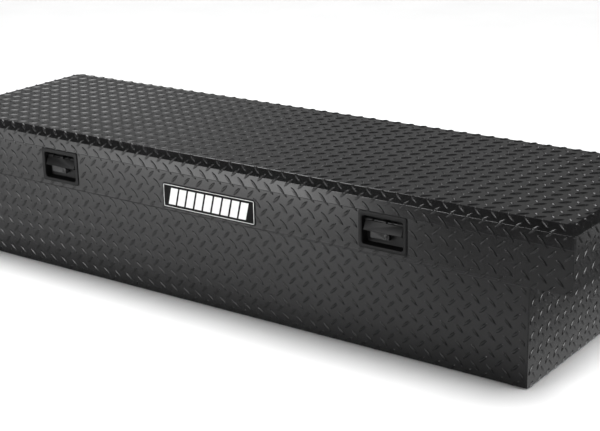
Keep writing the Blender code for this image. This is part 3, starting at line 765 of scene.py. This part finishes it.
def seam_shade_strip():
    """A thin rubber lip just under the skirt at the front and ends, whose black also stands in for
    painted shade in the gap under the skirt, and a thin dark bead under the band.
    """
    low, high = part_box("front_band")
    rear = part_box("hinge_body_leaf")[1].y - HINGE_CLEAR
    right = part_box("right_wing_end")[1].x
    # The lip is a rubber strip, and its black is also painted shade where the gap under the skirt
    # lies.
    front_low = (low.x, low.y - STRIP_PROUD, STRIP_LOW)
    strips = [box_mesh(front_low, (high.x, low.y + STRIP_PROUD, STRIP_TOP))]
    for end in (right, -right):
        end_low = (end - STRIP_PROUD, low.y, STRIP_LOW)
        strips.append(box_mesh(end_low, (end + STRIP_PROUD, rear, STRIP_TOP)))
    strips = [rounded(strip, STRIP_PROUD / 2) for strip in strips]
    object_of("seam_shade_strip", joined("seam_shade_strip", strips), RUBBER, "box")
    # A thin dark bead along the joint under the band.
    flat_low, flat_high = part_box("lower_front_panel")
    bead_low = (flat_low.x, flat_low.y - BEAD_PROUD, low.z - BEAD_HEIGHT)
    bead = box_mesh(bead_low, (flat_high.x, low.y + STRIP_PROUD, low.z))
    object_of("rail_dark_bead", rounded(bead, 0.0006), RUBBER, "box")


seam_shade_strip()

# ---- Rims, pan, core and weatherstrip --------------------------------------------------------
for rim in ("front_rim", "rear_rim", "left_rim", "right_rim"):
    dress(rim, 0.0005)
dress("lid_inner_pan", 0.0006)
dress("lid_foam_core", 0.0008)


BULB_STEPS = 8
BULB_FOOT = 0.22  # share of the height where the bulb leaves its base
BULB_CORNER = 0.016


def weatherstrip():
    """A soft D-shaped bulb round the opening."""
    low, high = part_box("weatherstrip")
    inner = min(v.co.x for v in NODES["weatherstrip"].data.vertices if v.co.x > 0)
    width = high.x - inner
    height = high.z - low.z
    section = [(0.0, 0.0)]
    for step in range(BULB_STEPS + 1):
        turn = math.pi * step / BULB_STEPS
        bulge = BULB_FOOT + (1 - BULB_FOOT) * math.sin(turn) ** 0.8
        section.append((width / 2 * (1 - math.cos(turn)), height * bulge))
    section.append((width, 0.0))
    middle = (high.y + low.y) / 2
    half_y = (high.y - low.y) / 2
    rings = []
    for inward, up in section:
        outline = ring_rect(high.x - inward, half_y - inward, BULB_CORNER - inward, 6)
        rings.append([(x, y + middle, low.z + up) for x, y in outline])
    mesh = loft("weatherstrip_bulb", rings, closed=True)
    object_of("weatherstrip_bulb", mesh, RUBBER, "box", "weatherstrip", sharp=60)


weatherstrip()

# ---- Latches ---------------------------------------------------------------------------------
FLANGE_CORNER = 0.005
DISH_CORNER = 0.006
FLANGE_THICK = 0.002
DISH_WALL = 0.0014
MOUTH_INSET = 0.0044  # the mouth's side inside the spindle's end
LIP_ROLL = 0.0011  # rounding of the flange's rim
BOLT_SLOT_HALF = 0.0065
LOCK_HOLE = 0.0034
AXLE_HOLE = 0.0026


def latch_dish(side):
    """The pan with a rounded flange, a rolled mouth and filleted floor."""
    node = f"{side}_latch_dish"
    low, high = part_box(node)
    spindle_low, spindle_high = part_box(f"{side}_spindle")
    x = (low.x + high.x) / 2
    z = (low.z + high.z) / 2
    wall = DISH_WALL
    face = low.y
    back = high.y - wall
    mouth_x = (spindle_high.x - spindle_low.x) / 2 - MOUTH_INSET
    points = [v.co for v in NODES[node].data.vertices if v.co.y > high.y - wall / 4]
    mouth_top = max(point.z for point in points) - wall
    mouth_low = min(point.z for point in points) + wall
    mouth_z = (mouth_top - mouth_low) / 2
    middle = (mouth_top + mouth_low) / 2
    half_x = (high.x - low.x) / 2
    half_z = (high.z - low.z) / 2

    def ring(a, b, centre, y, radius):
        return [(x + p, y, centre + q) for p, q in ring_rect(a, b, radius, 5)]

    blend = LIP_ROLL
    rings = [
        ring(mouth_x + wall, mouth_z + wall, middle, back + wall, DISH_CORNER),
        ring(mouth_x + wall, mouth_z + wall, middle, face + FLANGE_THICK, DISH_CORNER),
        ring(half_x - 0.0006, half_z - 0.0006, z, face + FLANGE_THICK, FLANGE_CORNER),
        ring(half_x, half_z, z, face + FLANGE_THICK - 0.0006, FLANGE_CORNER),
        ring(half_x, half_z, z, face + blend, FLANGE_CORNER),
        ring(half_x - blend * 0.4, half_z - blend * 0.4, z, face + blend * 0.35, FLANGE_CORNER),
        ring(half_x - blend * 1.2, half_z - blend * 1.2, z, face, FLANGE_CORNER),
        ring(mouth_x + 0.0018, mouth_z + 0.0018, middle, face, DISH_CORNER + 0.0018),
        ring(mouth_x + 0.0006, mouth_z + 0.0006, middle, face + 0.0005, DISH_CORNER + 0.0006),
        ring(mouth_x, mouth_z, middle, face + 0.0018, DISH_CORNER),
        ring(mouth_x - 0.0004, mouth_z - 0.0004, middle, back - 0.0015, DISH_CORNER),
        ring(mouth_x - 0.0008, mouth_z - 0.0008, middle, back - 0.0004, DISH_CORNER),
        ring(mouth_x - 0.0019, mouth_z - 0.0019, middle, back, DISH_CORNER - 0.001),
    ]
    mesh = loft(node, rings)
    slot = box_mesh(
        (x - BOLT_SLOT_HALF, back - wall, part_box(f"{side}_latch_bolt")[0].z - 0.0004),
        (x + BOLT_SLOT_HALF, back + 3 * wall, mouth_top - wall),
    )
    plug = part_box(f"{side}_lock_plug")
    plug_x = (plug[0].x + plug[1].x) / 2
    plug_z = plug[1].z - (plug[1].x - plug[0].x) / 2
    drill = ((0, LOCK_HOLE), (4 * wall, LOCK_HOLE))
    hole = loft("hole", turned((plug_x, back - wall, plug_z), (0, 1, 0), drill))
    axle_y = (spindle_low.y + spindle_high.y) / 2
    axle_z = (spindle_low.z + spindle_high.z) / 2
    reach = spindle_high.x - spindle_low.x
    drill = ((0, AXLE_HOLE), (2 * reach, AXLE_HOLE))
    axle = loft("axle", turned((x - reach, axle_y, axle_z), (1, 0, 0), drill))
    mesh = carve(mesh, slot, hole, axle)
    object_of(f"{side}_dish_pressed", mesh, LATCH, "box", node, sharp=50)


def lock(side):
    """The housing with a raised ring, and the plug with its keyway."""
    low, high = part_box(f"{side}_lock_plug")
    radius = (high.x - low.x) / 2
    x = (low.x + high.x) / 2
    z = high.z - radius
    dress(f"{side}_lock_housing", 0.0014, segments=3)
    house_low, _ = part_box(f"{side}_lock_housing")
    front = house_low.y
    section = (
        (0.0, radius + 0.0005),
        (-0.0007, radius + 0.0006),
        (-0.0010, radius + 0.0011),
        (-0.0010, radius + 0.0018),
        (-0.0006, radius + 0.0024),
        (0.0003, radius + 0.0026),
    )
    rings = turned((x, front, z), (0, 1, 0), section, 40)
    mesh = loft("ring", rings, closed=True)
    object_of(f"{side}_lock_ring", mesh, SATIN, "box", sharp=50)
    start, end = low.y - 0.001, low.y + 0.004
    keyway = box_mesh((x - 0.0006, start, z - 0.0031), (x + 0.0006, end, z + 0.0031))
    ward = box_mesh((x - 0.0003, start, z - 0.0012), (x + 0.0012, end, z - 0.0002))
    plug = carve(rounded(node_mesh(f"{side}_lock_plug"), 0.0004), keyway, ward)
    node = f"{side}_lock_plug"
    object_of(f"{side}_plug_keyed", plug, SATIN, node, node)


def coil(side):
    """The return spring as a smooth round wire."""
    node = f"{side}_return_spring"
    low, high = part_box(node)
    centre_y, centre_z = (low.y + high.y) / 2, (low.z + high.z) / 2
    wire = 0.0006
    radius = (high.y - low.y) / 2 - wire
    turns, per_turn, sides = 5, 28, 10
    length = high.x - low.x - 2 * wire
    rings = []
    for step in range(turns * per_turn + 1):
        turn = math.tau * step / per_turn
        middle = Vector(
            (
                low.x + wire + length * step / (turns * per_turn),
                centre_y + radius * math.cos(turn),
                centre_z + radius * math.sin(turn),
            )
        )
        spoke = Vector((0, math.cos(turn), math.sin(turn)))
        ring = []
        for side_step in range(sides):
            around = math.tau * side_step / sides
            sideways = Vector((wire * math.sin(around), 0, 0))
            ring.append(middle + spoke * wire * math.cos(around) + sideways)
        rings.append(ring)
    mesh = loft(node, rings)
    # Black satin coat: black hardware, and also painted shade where the spring sits above the paddle.
    object_of(f"{side}_spring_coil", mesh, SATIN, "box", node, sharp=60)


for side in SIDES:
    latch_dish(side)
    dress(f"{side}_paddle", 0.0009, look=LATCH, segments=3)
    lock(side)
    coil(side)
    # The spindle's black coat is black hardware and also painted shade above the paddle.
    dress(f"{side}_spindle", 0.0006)
    dress(f"{side}_bolt_guide", 0.0005)
    dress(f"{side}_latch_bolt", 0.0004)
    dress(f"{side}_striker", 0.0005)
    dress(f"{side}_tub_bracket", 0.0004)
    dress(f"{side}_lid_bracket", 0.0004)
    dress(f"{side}_strut_cylinder", 0.0012, segments=3)
    dress(f"{side}_strut_rod", 0.0006, look=CHROME)


# ---- Badge -----------------------------------------------------------------------------------
BADGE_CORNER = 0.004
BAR_COUNT = 9
BAR_LEAN = math.radians(14)
BAR_TALL = 0.68  # share of the badge's half height
BAR_SPAN = 0.86  # share of its width that the row takes
BAR_HALF = 0.40  # half a bar's width as a share of the step
BORDER_EDGE = 0.0026  # bare plate outside the border
BORDER_WIDTH = 0.0011
BORDER_RISE = 0.00025
PLATE_CHAMFER = 0.0005


def raised(points, y_low, y_high, shrink=0.0003):
    """A flat x-z outline raised towards -Y, with a small chamfer."""
    centre = [sum(point[axis] for point in points) / len(points) for axis in (0, 1)]

    def ring(y, inward):
        out = []
        for x, z in points:
            dx, dz = centre[0] - x, centre[1] - z
            reach = math.hypot(dx, dz)
            out.append((x + dx / reach * inward, y, z + dz / reach * inward))
        return out

    return loft("bar", [ring(y_high, 0), ring(y_low + shrink, 0), ring(y_low, shrink)])


def badge():
    """A black plate with a fine pale border and a row of slanted bars."""
    low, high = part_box("badge")
    x, z = (low.x + high.x) / 2, (low.z + high.z) / 2
    half_x, half_z = (high.x - low.x) / 2, (high.z - low.z) / 2
    inset = PLATE_CHAMFER
    steps = ((0, high.y), (0, low.y + inset), (inset * 0.3, low.y + inset * 0.3), (inset, low.y))
    rings = []
    for inward, y in steps:
        outline = ring_rect(half_x - inward, half_z - inward, BADGE_CORNER - inward, 5)
        rings.append([(x + a, y, z + b) for a, b in outline])
    plate = loft("badge_plate", rings)
    object_of("badge_plate", plate, BADGE_BLACK, "box", "badge", sharp=FLAT_FROM)
    border = []
    inner = BORDER_EDGE + BORDER_WIDTH
    under, over = low.y + BORDER_RISE, low.y - BORDER_RISE
    for inward, y in ((BORDER_EDGE, under), (BORDER_EDGE, over), (inner, over), (inner, under)):
        outline = ring_rect(half_x - inward, half_z - inward, BADGE_CORNER - inward * 0.6, 5)
        border.append([(x + a, y, z + b) for a, b in outline])
    bars = [loft("border", border, closed=True)]
    tall = half_z * BAR_TALL
    span = 2 * half_x * BAR_SPAN
    step = span / BAR_COUNT
    slant = tall * math.tan(BAR_LEAN)
    for number in range(BAR_COUNT):
        middle = x - span / 2 + step * (number + 0.5)
        half = step * BAR_HALF
        outline = (
            (middle - half - slant, z - tall),
            (middle + half - slant, z - tall),
            (middle + half + slant, z + tall),
            (middle - half + slant, z + tall),
        )
        bars.append(raised(outline, low.y - 0.0005, low.y + 0.0003))
    object_of("badge_bars", joined("badge_bars", bars), BADGE_WHITE, "box", sharp=30)


badge()


# ---- Hinge -----------------------------------------------------------------------------------
RIVET_COUNT = 15
RIVET_RADIUS = 0.0038
RIVET_RISE = 0.0014
RIVET_HEIGHT = 0.008  # above the lower leaf's edge
LEAF_THICK = 0.0012


def domes(name, places, direction, radius, height):
    """Rivet heads at places, facing a direction."""
    profile = [(-0.0003, radius)]
    for step in range(5):
        turn = math.pi / 2 * step / 4.6
        profile.append((height * math.sin(turn), radius * math.cos(turn)))
    return joined(name, [loft("dome", turned(place, direction, profile, 16)) for place in places])


def hinge():
    """Both leaves and the pin with rounded edges, and the rivets through the lower leaf."""
    for node in ("hinge_body_leaf", "hinge_lid_leaf", "hinge_pin"):
        dress(node, 0.0002, segments=1)
    low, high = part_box("hinge_body_leaf")
    places = []
    for number in range(RIVET_COUNT):
        share = (number + 0.5) / RIVET_COUNT
        x = low.x + (high.x - low.x) * share
        places.append((x, low.y + LEAF_THICK, low.z + RIVET_HEIGHT))
    mesh = domes("hinge_rivets", places, (0, 1, 0), RIVET_RADIUS, RIVET_RISE)
    object_of("hinge_rivets", mesh, ZINC, "box", sharp=60)


hinge()

# ---- Floor, light and camera -----------------------------------------------------------------
FLOOR_DROP = LUG_RISE + 0.0001  # just under the lugs of the tub's bottom
FLOOR_REACH = 40.0


def floor_mesh(name, height):
    """A wide square at one height."""
    mesh = bpy.data.meshes.new(name)
    reach = FLOOR_REACH
    corners = [(-reach, -reach), (reach, -reach), (reach, reach), (-reach, reach)]
    mesh.from_pydata([(x, y, height) for x, y in corners], [], [(0, 1, 2, 3)])
    return mesh


def studio_floor():
    """A wide pale floor, left out of reflections."""
    mesh = floor_mesh("studio_floor", -FLOOR_DROP)
    look = Shader("studio_paper")
    look.colour(look.ramp(look.noise(3.0), (0.3, (0.89, 0.89, 0.89)), (0.7, (0.92, 0.92, 0.92))))
    look.rough(look.ramp(look.noise(40.0), (0.3, 0.8), (0.7, 0.9)))
    look.bump((look.noise(400.0), 0.05, 0.0004))
    mesh.materials.append(look.material)
    floor = bpy.data.objects.new("studio_floor", mesh)
    bpy.context.scene.collection.objects.link(floor)
    floor.visible_glossy = False


# How bright the glowing plane that stands in for the floor in reflections is, as (place in metres,
# radiance) stops: painted light and shade. In front of the box it is lit on the left and dim on the
# right, with painted shade at the box's foot, by distance from the box's middle line.
FLOOR_LIT = (
    (0.26, 0.10),
    (0.30, 0.26),
    (0.41, 0.66),
    (0.55, 0.95),
    (0.70, 1.12),
    (0.90, 1.5),
    (1.45, 5.4),
)
FLOOR_DIM = (
    (0.26, 0.06),
    (0.30, 0.15),
    (0.41, 0.54),
    (0.55, 0.60),
    (0.70, 0.50),
    (0.90, 0.33),
    (1.45, 0.06),
)
FLOOR_ENDS = ((0.79, 0.0), (0.80, 0.68), (0.86, 0.54), (0.93, 0.34), (1.0, 0.15), (1.5, 0.16))
FLOOR_LEFT = ((-1.9, 0.4), (-1.4, 0.72), (-0.8, 1.0))  # how the lit part fades to the left
REAR_SHIFT = 0.35  # behind the box the same stops start this much further out
DIM_X = 0.2  # the dim part's edge has its middle at this x,
DIM_FROM = 0.68  # at this distance in front,
DIM_EDGE = 0.70  # and moves left by this much for each metre further out
DIM_BLUR = 0.2  # half the width of that edge
PEAK = 6.0  # the strongest radiance that a stop can hold


def painted_floor_reflection():
    """A glowing plane seen only in reflections, in place of the studio floor: a painted pool of light
    in front on the left, painted shade on the right and at the box's foot.
    """
    mesh = floor_mesh("painted_floor_reflection", -FLOOR_DROP - 0.0003)
    look = Shader("floor_glow")
    nodes, links = look.nodes, look.links
    split = nodes.new("ShaderNodeSeparateXYZ")
    links.new(look.place, split.inputs[0])

    def work(operation, first, second=0.0):
        node = nodes.new("ShaderNodeMath")
        node.operation = operation
        for socket, value in zip(node.inputs, (first, second)):
            if isinstance(value, bpy.types.NodeSocket):
                links.new(value, socket)
            else:
                socket.default_value = value
        return node.outputs[0]

    def curve(value, stops):
        low, high = stops[0][0], stops[-1][0]
        share = work("DIVIDE", work("SUBTRACT", value, low), high - low)
        return look.ramp(share, *(((at - low) / (high - low), level / PEAK) for at, level in stops))

    across, y = split.outputs["X"], split.outputs["Y"]
    deep = work("MAXIMUM", work("MULTIPLY", y, -1.0), work("SUBTRACT", y, REAR_SHIFT))
    shift = work("MULTIPLY", work("SUBTRACT", deep, DIM_FROM), DIM_EDGE)
    limit = work("SUBTRACT", DIM_X, shift)
    dim = curve(work("SUBTRACT", across, limit), ((-DIM_BLUR, 0.0), (DIM_BLUR, PEAK)))
    fade = work("MULTIPLY", curve(across, FLOOR_LEFT), PEAK)
    lit = work("MULTIPLY", curve(deep, FLOOR_LIT), fade)
    front = look.mix(dim, lit, curve(deep, FLOOR_DIM))
    ends = curve(work("ABSOLUTE", across), FLOOR_ENDS)
    grain = look.ramp(look.noise(2.0), (0.3, 0.94), (0.7, 1.0))
    glow = work("MULTIPLY", work("MAXIMUM", front, ends), grain)
    shine = nodes.new("ShaderNodeEmission")
    shine.inputs["Strength"].default_value = PEAK
    links.new(glow, shine.inputs["Color"])
    links.new(shine.outputs[0], nodes["Material Output"].inputs["Surface"])
    mesh.materials.append(look.material)
    plane = bpy.data.objects.new("painted_floor_reflection", mesh)
    bpy.context.scene.collection.objects.link(plane)
    plane.visible_camera = plane.visible_diffuse = plane.visible_shadow = False


def area_light(name, place, target, size, power):
    """A rectangular soft light aimed at a point."""
    data = bpy.data.lights.new(name, "AREA")
    data.shape = "RECTANGLE"
    data.size, data.size_y = size
    data.energy = power
    light = bpy.data.objects.new(name, data)
    light.location = place
    light.rotation_mode = "QUATERNION"
    light.rotation_quaternion = (Vector(target) - Vector(place)).to_track_quat("-Z", "Y")
    light.visible_camera = False
    bpy.context.scene.collection.objects.link(light)


WALL_SIDE = (-0.58, 0.78, 0.17)  # towards the middle of the pale wall


def sky():
    """A dark room with a pale wall behind the box."""
    world = bpy.data.worlds.new("studio_room")
    world.use_nodes = True
    nodes, links = world.node_tree.nodes, world.node_tree.links
    place = nodes.new("ShaderNodeTexCoord").outputs["Generated"]
    toward = nodes.new("ShaderNodeVectorMath")
    toward.operation = "DOT_PRODUCT"
    toward.inputs[1].default_value = Vector(WALL_SIDE).normalized()
    links.new(place, toward.inputs[0])
    ramp = nodes.new("ShaderNodeValToRGB")
    stops = ((0.0, 0.016), (0.78, 0.02), (0.93, 0.22), (1.0, 0.26))
    points = ramp.color_ramp.elements
    while len(points) < len(stops):
        points.new(0.5)
    for point, (position, value) in zip(points, stops):
        point.position = position
        point.color = (value, value, value, 1)
    links.new(toward.outputs["Value"], ramp.inputs["Fac"])
    links.new(ramp.outputs["Color"], nodes["Background"].inputs["Color"])
    nodes["Background"].inputs["Strength"].default_value = 1.0
    bpy.context.scene.world = world


def sun(direction, strength, spread):
    """A broad, soft light from one direction."""
    data = bpy.data.lights.new("studio_key", "SUN")
    data.energy = strength
    data.angle = spread
    light = bpy.data.objects.new("studio_key", data)
    light.rotation_mode = "QUATERNION"
    light.rotation_quaternion = Vector(direction).to_track_quat("Z", "Y")
    light.visible_glossy = False
    bpy.context.scene.collection.objects.link(light)


# The camera fitted to the photograph's edges.
AZIMUTH = math.radians(36.64)
ELEVATION = math.radians(18.10)
ROLL = math.radians(-1.38)
CAMERA_PLACE = (1.95363, -2.53620, 1.19562)
LENS = 84.82


def camera():
    """The camera of the photograph."""
    data = bpy.data.cameras.new("camera")
    data.lens = LENS
    data.sensor_width = 36.0
    data.clip_start = 0.05
    data.clip_end = 200.0
    lens = bpy.data.objects.new("camera", data)
    back = Vector(
        (
            math.sin(AZIMUTH) * math.cos(ELEVATION),
            -math.cos(AZIMUTH) * math.cos(ELEVATION),
            math.sin(ELEVATION),
        )
    )
    right = (-back).cross(Vector((0, 0, 1))).normalized()
    up = right.cross(-back)
    across = right * math.cos(ROLL) + up * math.sin(ROLL)
    upward = up * math.cos(ROLL) - right * math.sin(ROLL)
    turn = Matrix((across, upward, back)).transposed().to_4x4()
    lens.matrix_world = Matrix.Translation(CAMERA_PLACE) @ turn
    bpy.context.scene.collection.objects.link(lens)
    bpy.context.scene.camera = lens


studio_floor()
painted_floor_reflection()
sky()
sun((0.30, 0.20, 0.93), 3.5, math.radians(32))
area_light("overhead_light", (-0.975, 0.3, 1.85), (-0.975, 0.3, 0.0), (1.05, 1.2), 26.0)
area_light("front_left_light", (-1.25, -3.3, 1.15), (-0.3, 0.0, 0.2), (1.4, 0.8), 46.0)
area_light("front_light", (0.5, -3.3, 1.3), (0.2, 0.0, 0.2), (2.0, 0.8), 15.0)
area_light("right_light", (3.2, 0.5, 0.75), (0.6, 0.0, 0.2), (1.0, 0.8), 20.0)
camera()
bpy.context.scene.view_settings.view_transform = "Standard"
